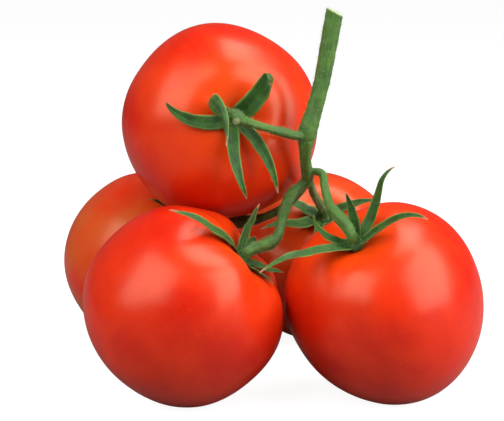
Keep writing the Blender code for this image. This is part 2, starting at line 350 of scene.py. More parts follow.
def smooth_step(field, low, high):
    """0 below low, 1 above high, and a soft ramp between them."""
    made = add_node(field.tree, "ShaderNodeMapRange",
                    {"Value": field, "From Min": low, "From Max": high},
                    interpolation_type="SMOOTHSTEP")
    return Field(field.tree, made.outputs[0])


def mix_colour(tree, factor, first, second):
    """Mix two colours by a factor; returns the colour socket."""
    mix = tree.nodes.new("ShaderNodeMix")
    mix.data_type = "RGBA"
    connect(tree, factor, mix.inputs[0])
    connect(tree, first, mix.inputs[6])
    connect(tree, second, mix.inputs[7])
    return mix.outputs[2]


def build_mottle_group():
    """Soft clouds of one colour in another."""
    tree, given, result = new_tree("mottle", "ShaderNodeTree", (
        ("Vector", VECTOR), ("Scale", FLOAT), ("First", COLOUR), ("Second", COLOUR)),
        (("Colour", COLOUR),))
    clouds = noise_value(tree, given.outputs["Vector"], given.outputs["Scale"], 4.0, 0.55)
    mask = smooth_step(clouds, 0.32, 0.68)
    connect(tree, mix_colour(tree, mask, given.outputs["First"], given.outputs["Second"]),
            result.inputs["Colour"])
    return tree


def build_dots_group():
    """Small round dots, scattered one to a cell."""
    tree, given, result = new_tree("dots", "ShaderNodeTree", (
        ("Vector", VECTOR), ("Scale", FLOAT), ("Size", FLOAT)), (("Mask", FLOAT),))
    cells = add_node(tree, "ShaderNodeTexVoronoi", {
        "Vector": given.outputs["Vector"], "Scale": given.outputs["Scale"]})
    inside = Field(tree, given.outputs["Size"]) - Field(tree, cells.outputs["Distance"])
    connect(tree, smooth_step(inside, 0.0, 0.06), result.inputs["Mask"])
    return tree


def build_fibres_group():
    """Fine lines: the vector's third value runs along them, so noise is stretched that way."""
    tree, given, result = new_tree("fibres", "ShaderNodeTree", (
        ("Vector", VECTOR), ("Fineness", FLOAT), ("Length", FLOAT)), (("Mask", FLOAT),))
    parts = add_node(tree, "ShaderNodeSeparateXYZ", {0: given.outputs["Vector"]})
    stretched = add_node(tree, "ShaderNodeCombineXYZ", {
        0: Field(tree, parts.outputs[0]) * given.outputs["Fineness"],
        1: Field(tree, parts.outputs[1]) * given.outputs["Fineness"],
        2: Field(tree, parts.outputs[2]) / given.outputs["Length"]})
    lines = noise_value(tree, stretched.outputs[0], 1.0, 3.0, 0.6)
    connect(tree, smooth_step(lines, 0.3, 0.7), result.inputs["Mask"])
    return tree


MOTTLE, DOTS, FIBRES = build_mottle_group(), build_dots_group(), build_fibres_group()


def use_group(tree, group, inputs):
    """Place a node group in a material and fill its inputs; returns its outputs."""
    node = add_node(tree, "ShaderNodeGroup", node_tree=group)
    for name, value in inputs.items():
        connect(tree, value, node.inputs[name])
    return node.outputs


def attribute(tree, name):
    """A point attribute's node outputs; Fac is a number, Vector three."""
    return add_node(tree, "ShaderNodeAttribute", attribute_name=name).outputs


def new_material(name, **settings):
    """A material with one Principled shader; its plain numbers are set on the sockets."""
    material = bpy.data.materials.new(name)
    material.use_nodes = True
    shader = material.node_tree.nodes["Principled BSDF"]
    for socket_name, value in settings.items():
        shader.inputs[socket_name.replace("_", " ")].default_value = value
    return material, material.node_tree, shader


print("Shader groups:", [group.name for group in (MOTTLE, DOTS, FIBRES)])

# %% [markdown]
# ## Tomato skin
#
# A ripe tomato is red flesh under a clear, thin, waxy skin. Light goes in a little way and
# comes out redder, which is subsurface scattering. The skin above it gives soft, slightly warm
# reflections, and a thin coat makes their middles a little crisper. The colour is yellower
# where the fruit ripens last, around the stem end, and the deep red has faint clouds, thin
# streaks that run from stem end to blossom end, and tiny pale dots.

# %% The skin material
RED, DEEP_RED = (0.68, 0.017, 0.001, 1.0), (0.54, 0.007, 0.001, 1.0)
ORANGE, AMBER = (0.58, 0.092, 0.014, 1.0), (0.86, 0.085, 0.002, 1.0)
PALE_DOT, WARM_SHINE = (0.90, 0.30, 0.10, 1.0), (1.0, 0.80, 0.52, 1.0)
STEM_END_REACH = 0.55       # radians from the stem end over which the amber fades out


def blend_colour(first, second, part):
    """A colour between two, as plain numbers."""
    return tuple(a + (b - a) * part for a, b in zip(first, second))


def skin_material(fruit):
    """Skin of one fruit, as ripe as its row in the table says."""
    material, tree, shader = new_material(
        f"tomato_skin_{fruit.name}", Roughness=0.32, IOR=1.46, Specular_Tint=WARM_SHINE,
        Subsurface_Weight=0.22, Subsurface_Scale=0.003, Coat_Weight=0.06, Coat_Roughness=0.20)
    shader.inputs["Subsurface Radius"].default_value = (1.0, 0.22, 0.10)
    base = blend_colour(ORANGE, RED, fruit.ripeness)
    deep = blend_colour(RED, DEEP_RED, fruit.ripeness)
    place = tree.nodes.new("ShaderNodeTexCoord").outputs["Object"]
    outward, polar = attribute(tree, "outward")["Vector"], attribute(tree, "polar")["Fac"]
    clouds = use_group(tree, MOTTLE, {"Vector": outward, "Scale": 1.8,
                                      "First": base, "Second": deep})
    direction_parts = add_node(tree, "ShaderNodeSeparateXYZ", {0: outward})
    flat_length = Field(tree, polar).maths("SINE") + 0.02
    streak_vector = add_node(tree, "ShaderNodeCombineXYZ", {
        0: Field(tree, direction_parts.outputs[0]) / flat_length,
        1: Field(tree, direction_parts.outputs[1]) / flat_length,
        2: Field(tree, polar)})
    streaks = use_group(tree, FIBRES, {"Vector": streak_vector.outputs[0], "Fineness": 9.0,
                                       "Length": 2.2})["Mask"]
    colour = mix_colour(tree, Field(tree, streaks) * 0.22, clouds["Colour"], base)
    amber = Field(tree, polar).bell(0.0, STEM_END_REACH) * 0.55
    colour = mix_colour(tree, amber, colour, AMBER)
    dots = use_group(tree, DOTS, {"Vector": place, "Scale": 620.0, "Size": 0.16})["Mask"]
    connect(tree, mix_colour(tree, Field(tree, dots) * 0.14, colour, PALE_DOT),
            shader.inputs["Base Color"])
    fine = noise_value(tree, place, 900.0, 2.0)
    broad = noise_value(tree, place, 55.0, 2.0)
    height = fine * 0.25 + broad + Field(tree, dots) * 0.10
    bump = add_node(tree, "ShaderNodeBump", {"Strength": 0.10, "Distance": 0.0006,
                                             "Height": height})
    connect(tree, bump.outputs[0], shader.inputs["Normal"])
    connect(tree, broad * 0.10 + 0.27, shader.inputs["Roughness"])
    return material


print("The amber fades out within", round(math.degrees(STEM_END_REACH)), "degrees")

# %% [markdown]
# ## The five fruits
#
# One call of the tomato tree makes one fruit. Its numbers go in by the sockets' identifiers,
# and what comes out is a plain mesh that replaces the CAD fruit.

# %% Make the fruits
SEGMENTS, RINGS = 168, 96
UNEVENNESS = 0.6            # millimetres, from the lowest to the highest place of the noise


def add_tomato(fruit, seed):
    """One fruit, from the tree, in place of its CAD node."""
    inputs = {
        "Segments": SEGMENTS, "Rings": RINGS, "Radius": fruit.radius,
        "Half Height": fruit.half_height, "Rib Height": fruit.rib, "Rib Turn": fruit.rib_turn,
        "Dimple Depth": fruit.dimple, "Dimple Spread": fruit.spread,
        "Unevenness": UNEVENNESS, "Seed": float(seed), "Left": tuple(fruit.left),
        "Top": tuple(fruit.top), "Axis": tuple(fruit.axis), "Centre": tuple(fruit.centre),
        "Skin": skin_material(fruit)}
    for key, (count, height, turn) in zip("AB", fruit.lobes):
        inputs[f"Lobe {key} Count"] = float(count)
        inputs[f"Lobe {key} Height"] = height
        inputs[f"Lobe {key} Turn"] = math.radians(turn)
    piece = mesh_from_tree(f"tomato_{fruit.name}_skin", tomato_tree, inputs)
    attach(piece, "root")
    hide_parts(f"tomato_{fruit.name}")
    print(piece.name, len(piece.data.polygons), "faces")


for number, fruit in enumerate(fruits.values()):
    add_tomato(fruit, number)

# %% [markdown]
# ## Smooth routes
#
# Stems and stalks are grown, so their routes have no straight runs and no sharp corners. A
# Catmull-Rom curve passes through a few given points and stays smooth between them.
# The thickness is carried along as a fourth value.

# %% Routes of the vine, with a radius at each point
MAIN_STEM = (
    (28.7, -18.0, 138.2, 3.1), (26.6, -18.3, 126.0, 3.0), (24.4, -19.0, 113.5, 2.85),
    (21.6, -20.2, 103.0, 2.9), (19.2, -21.0, 94.6, 3.3), (18.6, -19.0, 87.0, 1.95),
    (19.2, -15.0, 81.5, 2.1), (19.9, -12.0, 76.8, 1.9),
)
STALKS = {
    "top": ((15.9, -23.4, 94.6, 1.6), (12.0, -25.0, 95.8, 1.7), (5.0, -28.5, 98.2, 1.45),
            (-1.5, -33.0, 101.0, 1.6), (-5.8, -35.0, 103.0, 2.6)),
    "front_left": ((17.4, -12.4, 74.6, 1.7), (14.6, -13.8, 72.4, 2.1), (12.1, -16.0, 68.0, 2.1),
                   (10.4, -18.5, 62.7, 1.8), (9.2, -22.2, 58.9, 1.75), (6.2, -24.6, 56.6, 2.3)),
    "front_right": ((22.2, -14.2, 80.2, 1.3), (25.0, -15.8, 79.4, 1.5), (25.7, -21.0, 75.3, 1.5),
                    (27.2, -29.0, 70.8, 1.7), (28.6, -33.0, 69.2, 2.2), (32.0, -38.5, 66.6, 2.2)),
    "back_middle": ((21.2, -8.9, 73.6, 1.3), (22.2, 0.0, 69.5, 1.4), (24.0, 15.0, 64.0, 1.35),
                    (26.2, 30.0, 58.5, 1.8), (26.6, 35.5, 57.0, 2.0)),
    "back_left": ((16.6, -9.6, 71.0, 1.3), (12.0, -5.0, 65.5, 1.5), (5.0, 1.0, 60.5, 1.5),
                  (-3.0, 9.0, 56.9, 2.3), (-8.5, 17.0, 55.7, 2.5), (-12.5, 24.0, 54.4, 2.0)),
}
HUB_HEIGHT = 2.9            # of the receptacle's top above the skin at the stem end
ARRIVAL = 3.0               # length of a stalk's last run, along the fruit's axis
SINK = 1.0                  # depth to which a stalk's end goes into the receptacle
ARRIVAL_RADIUS, END_RADIUS = 1.9, 2.3
ROOT_SWELLING = 1.25        # how much thicker a stalk is where it leaves the stem
ROUTE_STEPS, SHORT_STEPS = 12, 8      # samples between two points of a route


def to_model(point):
    """A point of the tables, in millimetres from the model's origin."""
    return np.array(point[:3]) - np.array(FOOTPRINT_MIDDLE)


def smooth_route(route, steps):
    """A Catmull-Rom curve through the route's points, as rows of X, Y, Z and radius."""
    ends = [np.array((*to_model(p), p[3])) for p in route]
    ends = [ends[0] * 2 - ends[1]] + ends + [ends[-1] * 2 - ends[-2]]
    curve = []
    for a, b, c, d in zip(ends, ends[1:], ends[2:], ends[3:]):
        for t in np.arange(steps) / steps:
            curve.append(0.5 * (b * 2 + (c - a) * t + (a * 2 - b * 5 + c * 4 - d) * t ** 2
                                + (b * 3 - a - c * 3 + d) * t ** 3))
    curve.append(ends[-2])
    return np.array(curve)


def hub_top(fruit):
    """The top of a fruit's receptacle, as a point of the tables."""
    return fruit.place(UP * (float(fruit.reach(0.0, 0.0)) + HUB_HEIGHT)) + FOOTPRINT_MIDDLE


def stalk_route(fruit, route):
    """From inside the stem, along the stalk's own points, into the top of the receptacle."""
    stem = smooth_route(MAIN_STEM, SHORT_STEPS)
    nearest = stem[np.argmin(np.linalg.norm(stem[:, :3] - to_model(route[0]), axis=1))]
    root = (*(nearest[:3] + np.array(FOOTPRINT_MIDDLE)), route[0][3] * ROOT_SWELLING)
    before, end = hub_top(fruit) + fruit.axis * ARRIVAL, hub_top(fruit) - fruit.axis * SINK
    return (root, *route, (*before, ARRIVAL_RADIUS), (*end, END_RADIUS))


def knuckle_route(fruit):
    """The blunt knuckle of a stalk that turns sharply towards its fruit, as a stub."""
    return ((*hub_top(fruit), 2.2), (-6.0, -26.0, 101.6, 2.1), (-6.1, -31.0, 102.2, 2.4),
            (-6.2, -34.5, 102.6, 2.9), (-6.3, -36.2, 102.8, 3.0), (-6.3, -37.2, 102.9, 2.6))


routes = {"main_stem": smooth_route(MAIN_STEM, ROUTE_STEPS)}
for name, route in STALKS.items():
    routes[f"stalk_{name}"] = smooth_route(stalk_route(fruits[name], route), ROUTE_STEPS)
routes["knuckle_top"] = smooth_route(knuckle_route(fruits["top"]), SHORT_STEPS)
for name, route in routes.items():
    length = np.linalg.norm(np.diff(route[:, :3], axis=0), axis=1).sum()
    print(name, "is", round(float(length), 1), "mm long")

# %% [markdown]
# ## The vine as one grown piece
#
# Where a stalk leaves the stem there is no joint line: the tissue flows from one into the
# other. Sweeping a ring along each route gives tubes that only cross each other, so a voxel
# remesh fuses them into one skin and a light smoothing rounds the crotches. After that, each
# point looks up the nearest place on the routes, which tells how far along and how far around
# it is. Those numbers shape the ridges, the collars and the knuckles, and steer the fibres of
# the colour.

# %% Sweep, fuse and smooth
VOXEL = 0.30                # millimetres
SWEEP_SIDES = 20
ROUNDING, ROUNDS = 0.5, 5   # strength of the smoothing after the remesh, and how often


def frames_along(points):
    """Unit tangents, and a side direction that turns as little as possible."""
    tangents = np.gradient(points, axis=0)
    tangents /= np.linalg.norm(tangents, axis=1)[:, None]
    side = np.cross(tangents[0], (0.0, 1.0, 0.0))
    sides = []
    for tangent in tangents:
        side = side - tangent * side.dot(tangent)
        side /= np.linalg.norm(side)
        sides.append(side.copy())
    return tangents, np.array(sides)


def sweep(route, verts, faces):
    """Add one closed tube with a flat cap at each end to the lists."""
    points, radii = route[:, :3], route[:, 3]
    tangents, sides = frames_along(points)
    ups = np.cross(tangents, sides)
    first = len(verts)
    angles = np.arange(SWEEP_SIDES) * math.tau / SWEEP_SIDES
    for point, radius, side, up in zip(points, radii, sides, ups):
        for a in angles:
            verts.append(point + radius * (side * math.cos(a) + up * math.sin(a)))
    for i in range(len(points) - 1):
        for j in range(SWEEP_SIDES):
            k = (j + 1) % SWEEP_SIDES
            row, following = first + i * SWEEP_SIDES, first + (i + 1) * SWEEP_SIDES
            faces.append((row + j, row + k, following + k, following + j))
    faces.append(tuple(first + j for j in reversed(range(SWEEP_SIDES))))
    faces.append(tuple(first + (len(points) - 1) * SWEEP_SIDES + j for j in range(SWEEP_SIDES)))


def fused_vine():
    """All the tubes as one smooth closed mesh, in millimetres."""
    verts, faces = [], []
    for route in routes.values():
        sweep(route, verts, faces)
    mesh = bpy.data.meshes.new("vine_tubes")
    mesh.from_pydata([tuple(v) for v in verts], [], faces)
    holder = bpy.data.objects.new("vine_tubes", mesh)
    bpy.context.scene.collection.objects.link(holder)
    remesh = holder.modifiers.new("fuse", "REMESH")
    remesh.mode, remesh.voxel_size = "VOXEL", VOXEL
    smooth = holder.modifiers.new("round", "SMOOTH")
    smooth.factor, smooth.iterations = ROUNDING, ROUNDS
    graph = bpy.context.evaluated_depsgraph_get()
    made = bpy.data.meshes.new_from_object(holder.evaluated_get(graph), depsgraph=graph)
    bpy.data.objects.remove(holder, do_unlink=True)
    made.name = "vine"
    return made


vine_mesh = fused_vine()
print("The fused vine has", len(vine_mesh.vertices), "points")

# %% [markdown]
# ### Ridges, collars and the cut
#
# A tomato stem is not quite round: low ridges run along it. Where a stalk leaves, a collar
# stands up with a crease below it, and the knuckle of each stalk, where a picked fruit breaks
# off, has a fine groove around it. The top end was cut at a slant with a blade, which leaves a
# flat pale face, and the uppermost knuckle has a small pale spot on its end.

# %% Shape the vine's surface
RIDGE_COUNT, RIDGE_HEIGHT, RIDGE_TWIST = 5, 0.045, 0.02
LUMP_SCALE, LUMP_HEIGHT = 0.45, 0.16
CUT_POINT = to_model((28.6, -18.0, 137.3))
CUT_NORMAL = np.array(direction(90, 62))
CUT_RIM = 0.12              # the skin this close to the cut is pale too
# a small pale spot on the end of the uppermost knuckle, given the cut face's pale colour at up to
# this strength
KNUCKLE_SPOT_POINT = to_model((-5.4, -37.6, 102.1))
KNUCKLE_SPOT_RADIUS, KNUCKLE_SPOT_PALENESS = 1.5, 0.6
# piece, the route point that it is at, height of the swelling, depth of the groove, width
COLLARS = (
    ("main_stem", 4, 0.10, 0.30, 1.6), ("main_stem", 7, 0.25, 0.0, 2.2),
    ("stalk_top", 5, 0.15, 0.22, 1.1), ("stalk_front_left", 6, 0.15, 0.24, 1.1),
    ("stalk_front_right", 5, 0.15, 0.22, 1.1), ("stalk_back_middle", 4, 0.1, 0.2, 1.1),
    ("stalk_back_left", 6, 0.1, 0.2, 1.1),
)


def vine_lookup():
    """A tree of every route sample, with its piece, index, length so far, and frame."""
    samples = []
    for name, route in routes.items():
        points = route[:, :3]
        tangents, sides = frames_along(points)
        steps = np.linalg.norm(np.diff(points, axis=0), axis=1)
        lengths = np.concatenate([[0.0], np.cumsum(steps)])
        for i, point in enumerate(points):
            samples.append((name, point, route[i, 3], lengths[i], tangents[i], sides[i]))
    tree = KDTree(len(samples))
    for i, sample in enumerate(samples):
        tree.insert(sample[1], i)
    tree.balance()
    return tree, samples


def collar_height(name, length):
    """How far the collars and grooves lift the surface here, in millimetres."""
    height = 0.0
    for piece, index, swelling, groove, width in COLLARS:
        if piece == name:
            route = routes[piece][:index * ROUTE_STEPS + 1, :3]
            here = np.linalg.norm(np.diff(route, axis=0), axis=1).sum()
            offset = (length - here) / width
            height += swelling * math.exp(-offset ** 2)
            height -= groove * math.exp(-((offset - 0.9) * 3.2) ** 2)
    return height


def shape_vine(mesh):
    """Move each point for ridges, collars and the cut, and store what the colour needs."""
    tree, samples = vine_lookup()
    count = len(mesh.vertices)
    grain, cut = np.zeros((count, 3)), np.zeros(count)
    moved = np.zeros((count, 3))
    for vertex in mesh.vertices:
        at = np.array(vertex.co)
        best = min(tree.find_n(vertex.co, 8), key=lambda hit: hit[2] - samples[hit[1]][2])
        name, point, radius, length, tangent, side = samples[best[1]]
        length += float((at - point) @ tangent)
        out = at - point - tangent * float((at - point) @ tangent)
        spread = max(float(np.linalg.norm(out)), 1e-6)
        out /= spread
        angle = math.atan2(float(out @ np.cross(tangent, side)), float(out @ side))
        ridge = math.cos(RIDGE_COUNT * angle + RIDGE_TWIST * length) * RIDGE_HEIGHT * radius
        lump = noise.noise(Vector(at) * LUMP_SCALE) * LUMP_HEIGHT
        at = at + out * min(1.0, spread / radius) * (ridge + lump + collar_height(name, length))
        above = float((at - CUT_POINT) @ CUT_NORMAL)
        if above > 0:
            at = at - CUT_NORMAL * above
        # the knuckle's pale spot goes into the same mask as the cut face
        knuckle_spot = max(0.0, 1.0 - float(np.linalg.norm(at - KNUCKLE_SPOT_POINT)) / KNUCKLE_SPOT_RADIUS)
        cut[vertex.index] = max(float(above > -CUT_RIM), min(KNUCKLE_SPOT_PALENESS, knuckle_spot * 1.5))
        grain[vertex.index] = (math.cos(angle) * radius, math.sin(angle) * radius, length)
        moved[vertex.index] = at
    mesh.vertices.foreach_set("co", (moved * MM).ravel())
    mesh.attributes.new("grain", "FLOAT_VECTOR", "POINT").data.foreach_set("vector",
                                                                          grain.ravel())
    mesh.attributes.new("cut", "FLOAT", "POINT").data.foreach_set("value", cut)
    mesh.shade_smooth()


shape_vine(vine_mesh)
vine_size = np.ptp([vertex.co for vertex in vine_mesh.vertices], axis=0)
print("Vine box in mm:", [round(float(side) / MM) for side in vine_size])

# %% [markdown]
# ## Green tissue
#
# The stem is a mid green with paler fibres along it, cloudy patches, and pale dots where its
# hairs stand. It is matt, with a faint velvety sheen from the hairs. The cut face is pale.

# %% The vine material
STEM_GREEN, STEM_DARK = (0.046, 0.140, 0.014, 1.0), (0.013, 0.066, 0.007, 1.0)
STEM_PALE, HAIR_BASE = (0.125, 0.235, 0.040, 1.0), (0.22, 0.31, 0.12, 1.0)
CUT_PALE = (0.42, 0.47, 0.22, 1.0)


def vine_material():
    """Green stem tissue with fibres along the grain, dots and a pale cut face."""
    material, tree, shader = new_material(
        "vine_green", Roughness=0.55, IOR=1.40, Subsurface_Weight=0.12, Subsurface_Scale=0.001,
        Sheen_Weight=0.04, Sheen_Roughness=0.4)
    shader.inputs["Subsurface Radius"].default_value = (0.5, 1.0, 0.2)
    place = tree.nodes.new("ShaderNodeTexCoord").outputs["Object"]
    clouds = use_group(tree, MOTTLE, {"Vector": place, "Scale": 170.0,
                                      "First": STEM_DARK, "Second": STEM_GREEN})
    fibres = use_group(tree, FIBRES, {"Vector": attribute(tree, "grain")["Vector"],
                                      "Fineness": 3.2, "Length": 7.0})["Mask"]
    colour = mix_colour(tree, Field(tree, fibres) * 0.45, clouds["Colour"], STEM_PALE)
    dots = use_group(tree, DOTS, {"Vector": place, "Scale": 1500.0, "Size": 0.26})["Mask"]
    colour = mix_colour(tree, Field(tree, dots) * 0.40, colour, HAIR_BASE)
    colour = mix_colour(tree, attribute(tree, "cut")["Fac"], colour, CUT_PALE)
    connect(tree, colour, shader.inputs["Base Color"])
    height = Field(tree, fibres) * 0.6 + Field(tree, dots) * 0.3 + noise_value(tree, place, 700.0)
    bump = add_node(tree, "ShaderNodeBump", {"Strength": 0.35, "Distance": 0.0003,
                                             "Height": height})
    connect(tree, bump.outputs[0], shader.inputs["Normal"])
    return material


vine = bpy.data.objects.new("vine", vine_mesh)
bpy.context.scene.collection.objects.link(vine)
vine_mesh.materials.append(vine_material())
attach(vine, "root")
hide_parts("main_stem", *(f"stalk_{name}" for name in STALKS))
print("The vine has", len(vine_mesh.polygons), "faces")

# %% [markdown]
# ## The calyxes
#
# A sepal is a narrow leaf: a channel along the midrib, thin edges that curl up and waver, and a
# tip that dries to a thread. Its middle line starts at the receptacle, bends and turns by its
# own numbers, and is pushed out wherever it would enter the fruit. Around that line goes a
# closed loop of points, wide and thin, so that a sepal is a real solid and not a sheet.

# %% One row for each sepal
SEPAL_START, SEPAL_LIFT, SEPAL_GAP = 2.6, 1.9, 0.8
# azimuth around the stem end, length, width, rise, bend, veer, curl of the tip, twist
SEPALS = {
    "top": (
        (66, 39, 4.0, 5, 230, -80, -80, 0), (108, 26, 4.4, 15, -27, -71, 66, 20),
        (165, 30, 3.9, 30, -30, 45, -60, 0), (221, 30, 3.7, 35, -60, -31, 10, 0),
        (304, 26, 6.0, 35, -5, 55, 235, 0)),
    "front_left": (
        (48, 36, 4.2, 8, -25, -28, -20, 25), (145, 13, 4.2, 10, 20, 20, -30, 0),
        (200, 15, 4.2, 20, 15, 10, -5, 0), (270, 20, 4.2, 20, -20, 0, 20, 0),
        (317, 19, 4.0, 47, 20, 0, 0, 0)),
    "front_right": (
        (22, 17, 3.2, 30, 50, 12, 10, 0), (115, 20, 3.0, 20, 90, -14, 20, 0),
        (150, 36, 4.4, 35, -15, 10, -20, 0), (286, 33, 4.4, 36, -11, -9, -65, 0),
        (342, 29, 4.6, 21, 60, -13, -94, 10)),
    "back_left": (
        (54, 26, 3.4, 5, -10, 0, 0, 0), (112, 18, 4.2, 10, -20, -10, 20, 0),
        (165, 13, 4.2, 5, -10, 10, 10, 0), (235, 10, 4.0, 5, -10, 0, 10, 0),
        (310, 11, 4.0, 5, -10, 10, 10, 0)),
    "back_middle": (
        (75, 16, 4.2, 30, 0, 0, 0, 0), (124, 34, 4.2, 25, 30, -4, -60, 0),
        (160, 18, 3.0, 30, -10, 10, -20, 0), (230, 18, 4.2, 20, -10, 0, 20, 0),
        (290, 20, 3.2, 24, -16, -20, -20, 0)),
}
print("Sepals:", sum(len(rows) for rows in SEPALS.values()))

# %% A sepal from its row
SEPAL_STEPS, ACROSS = 56, 10
MIDRIB_THICK, EDGE_THICK = 0.34, 0.09      # half the blade's thickness, in millimetres
CUP = 0.30                                 # rise of the edges, as a part of the half width
GROOVE, MIDRIB = 0.16, 0.22                # depth above the midrib, and its height below
RAGGED, FLUTTER = 0.10, 0.22               # how uneven the edges are, sideways and upwards
LEAST_HALF = 0.08                          # half the width that a sepal's tip keeps


def sepal_line(fruit, azimuth, length, rise, bend, veer, curl):
    """The middle line of one sepal, in the fruit's own frame, kept off the skin."""
    hub = float(fruit.reach(0.0, 0.0))
    point = around_axis(math.radians(azimuth)) * SEPAL_START + UP * (hub + SEPAL_LIFT)
    points = [point.copy()]
    for i in range(SEPAL_STEPS):
        s = (i + 0.5) / SEPAL_STEPS
        lift = math.radians(rise + bend * s + curl * max(0.0, (s - 0.6) / 0.4) ** 1.5)
        outward = around_axis(math.radians(azimuth + veer * s))
        point = point + (outward * math.cos(lift) + UP * math.sin(lift)) * (length / SEPAL_STEPS)
        lowest = fruit.reach_towards(point) + SEPAL_GAP
        if point.length < lowest:
            point = point * (lowest / point.length)
        points.append(point.copy())
    return points


def half_width(width, s):
    """Half the width at s, from 0 at the base to 1 at the tip: widest near the base."""
    return 0.60 * width * (1 - s) ** 0.8 * (0.75 + 1.2 * s) * (1 - 0.42 * s * s) / 0.84


def add_blade(fruit, numbers, seed, verts, faces, values):
    """One sepal as rings of points around its middle line, closed at both ends."""
    azimuth, length, width, rise, bend, veer, curl, twist = numbers
    line = sepal_line(fruit, azimuth, length, rise, bend, veer, curl)
    side = around_axis(math.radians(azimuth + 90.0))
    first, loop = len(verts), 2 * ACROSS
    for i in range(SEPAL_STEPS):
        forward = (line[i + 1] - line[max(i - 1, 0)]).normalized()
        side = (side - forward * side.dot(forward)).normalized()
        s = i / SEPAL_STEPS
        turned = Quaternion(forward, math.radians(twist * s)) @ side
        outward = turned.cross(forward)
        half = half_width(width, s) + LEAST_HALF
        wave = noise.noise(Vector((seed * 7.3, s * 5.0, 0.0)))
        for k in range(loop):
            upper = k <= ACROSS
            t = -1 + 2 * k / ACROSS if upper else 3 - 2 * k / ACROSS
            ragged = 1 + RAGGED * noise.noise(Vector((seed * 3.1, s * 9.0, math.copysign(4, t))))
            flutter = FLUTTER * noise.noise(Vector((seed * 5.7, s * 6.0, math.copysign(9, t))))
            cup = half * (CUP + 0.35 * wave) * abs(t) ** 1.6 + flutter * abs(t) ** 3
            groove = -GROOVE * math.exp(-(t / 0.16) ** 2) if upper else 0.0
            thick = EDGE_THICK + (MIDRIB_THICK - EDGE_THICK) * (1 - t * t) ** 0.7
            thick *= (1 - 0.55 * s) * (1 if upper else -1)
            if not upper:
                thick -= MIDRIB * math.exp(-(t / 0.14) ** 2) * (1 - s)
            point = line[i] + turned * (half * t * ragged) + outward * (cup + groove + thick)
            verts.append(point)
            values.append((s, abs(t), -half * t, s * length, 1.0 if upper else 0.0))
    verts.append(line[-1])
    values.append((1.0, 0.0, 0.0, length, 1.0))
    for i in range(SEPAL_STEPS - 1):
        row, following = first + i * loop, first + (i + 1) * loop
        for k in range(loop):
            j = (k + 1) % loop
            faces.append((row + k, following + k, following + j, row + j))
    last = first + (SEPAL_STEPS - 1) * loop
    for k in range(loop):
        faces.append((last + k, len(verts) - 1, last + (k + 1) % loop))
    faces.append(tuple(first + k for k in range(loop)))


print("A sepal has", SEPAL_STEPS * 2 * ACROSS + 1, "points")

# %% [markdown]
# The receptacle under the sepals is a small dome that the stalk's end sits on. It is turned
# from a short profile, like a bead on a lathe, with a little noise so that it isn't a bead.

# %% Receptacle and calyx
HUB_PROFILE = ((0.0, 0.35), (2.4, 0.40), (3.3, 0.95), (3.45, 1.7), (3.1, 2.4), (2.5, 2.95),
               (1.9, 3.3), (0.0, 3.4))       # radius and height above the skin
HUB_SIDES = 40


def add_hub(fruit, seed, verts, faces, values):
    """The receptacle, closed at the top and the bottom of its profile."""
    skin = float(fruit.reach(0.0, 0.0))
    first = len(verts)
    verts.append(UP * (skin + HUB_PROFILE[0][1]))
    for radius, height in HUB_PROFILE[1:-1]:
        for j in range(HUB_SIDES):
            out = around_axis(math.tau * j / HUB_SIDES)
            lump = 1 + 0.12 * noise.noise(out * 1.3 + Vector((seed, height, 0.0)))
            verts.append(out * radius * lump + UP * (skin + height))
    verts.append(UP * (skin + HUB_PROFILE[-1][1]))
    values += [(0.0, 0.0, v.x, v.y, 1.0) for v in verts[first:]]
    rows = len(HUB_PROFILE) - 2
    for j in range(HUB_SIDES):
        k = (j + 1) % HUB_SIDES
        faces.append((first, first + 1 + j, first + 1 + k))
        for i in range(rows - 1):
            low, high = first + 1 + i * HUB_SIDES, first + 1 + (i + 1) * HUB_SIDES
            faces.append((low + j, high + j, high + k, low + k))
        top = first + 1 + (rows - 1) * HUB_SIDES
        faces.append((top + j, len(verts) - 1, top + k))


def build_calyx(name, fruit, seed, material):
    """The receptacle and the sepals of one fruit, as one piece."""
    verts, faces, values = [], [], []
    add_hub(fruit, seed, verts, faces, values)
    for i, numbers in enumerate(SEPALS[name]):
        add_blade(fruit, numbers, seed * 10 + i, verts, faces, values)
    mesh = bpy.data.meshes.new(f"calyx_{name}_leaves")
    mesh.from_pydata([tuple(fruit.place(v) * MM) for v in verts], [], faces)
    values = np.array(values)
    for attribute_name, column in (("dryness", 0), ("margin", 1)):
        stored = mesh.attributes.new(attribute_name, "FLOAT", "POINT")
        stored.data.foreach_set("value", values[:, column])
    grain = np.stack([values[:, 2], values[:, 4] * 3, values[:, 3]], axis=1)
    mesh.attributes.new("grain", "FLOAT_VECTOR", "POINT").data.foreach_set("vector",
                                                                          grain.ravel())
    mesh.materials.append(material)
    mesh.shade_smooth()
    piece = bpy.data.objects.new(mesh.name, mesh)
    bpy.context.scene.collection.objects.link(piece)
    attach(piece, "root")
    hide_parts(f"calyx_{name}")
    print(piece.name, len(mesh.polygons), "faces")
    return piece


# %% [markdown]
# The sepals are darker than the stem, with paler edges. Their very tips have dried to a pale
# pinkish brown.

# %% The sepal material
LEAF_GREEN, LEAF_DARK = (0.030, 0.110, 0.010, 1.0), (0.006, 0.042, 0.005, 1.0)
LEAF_EDGE, LEAF_DRY = (0.15, 0.24, 0.040, 1.0), (0.46, 0.20, 0.12, 1.0)


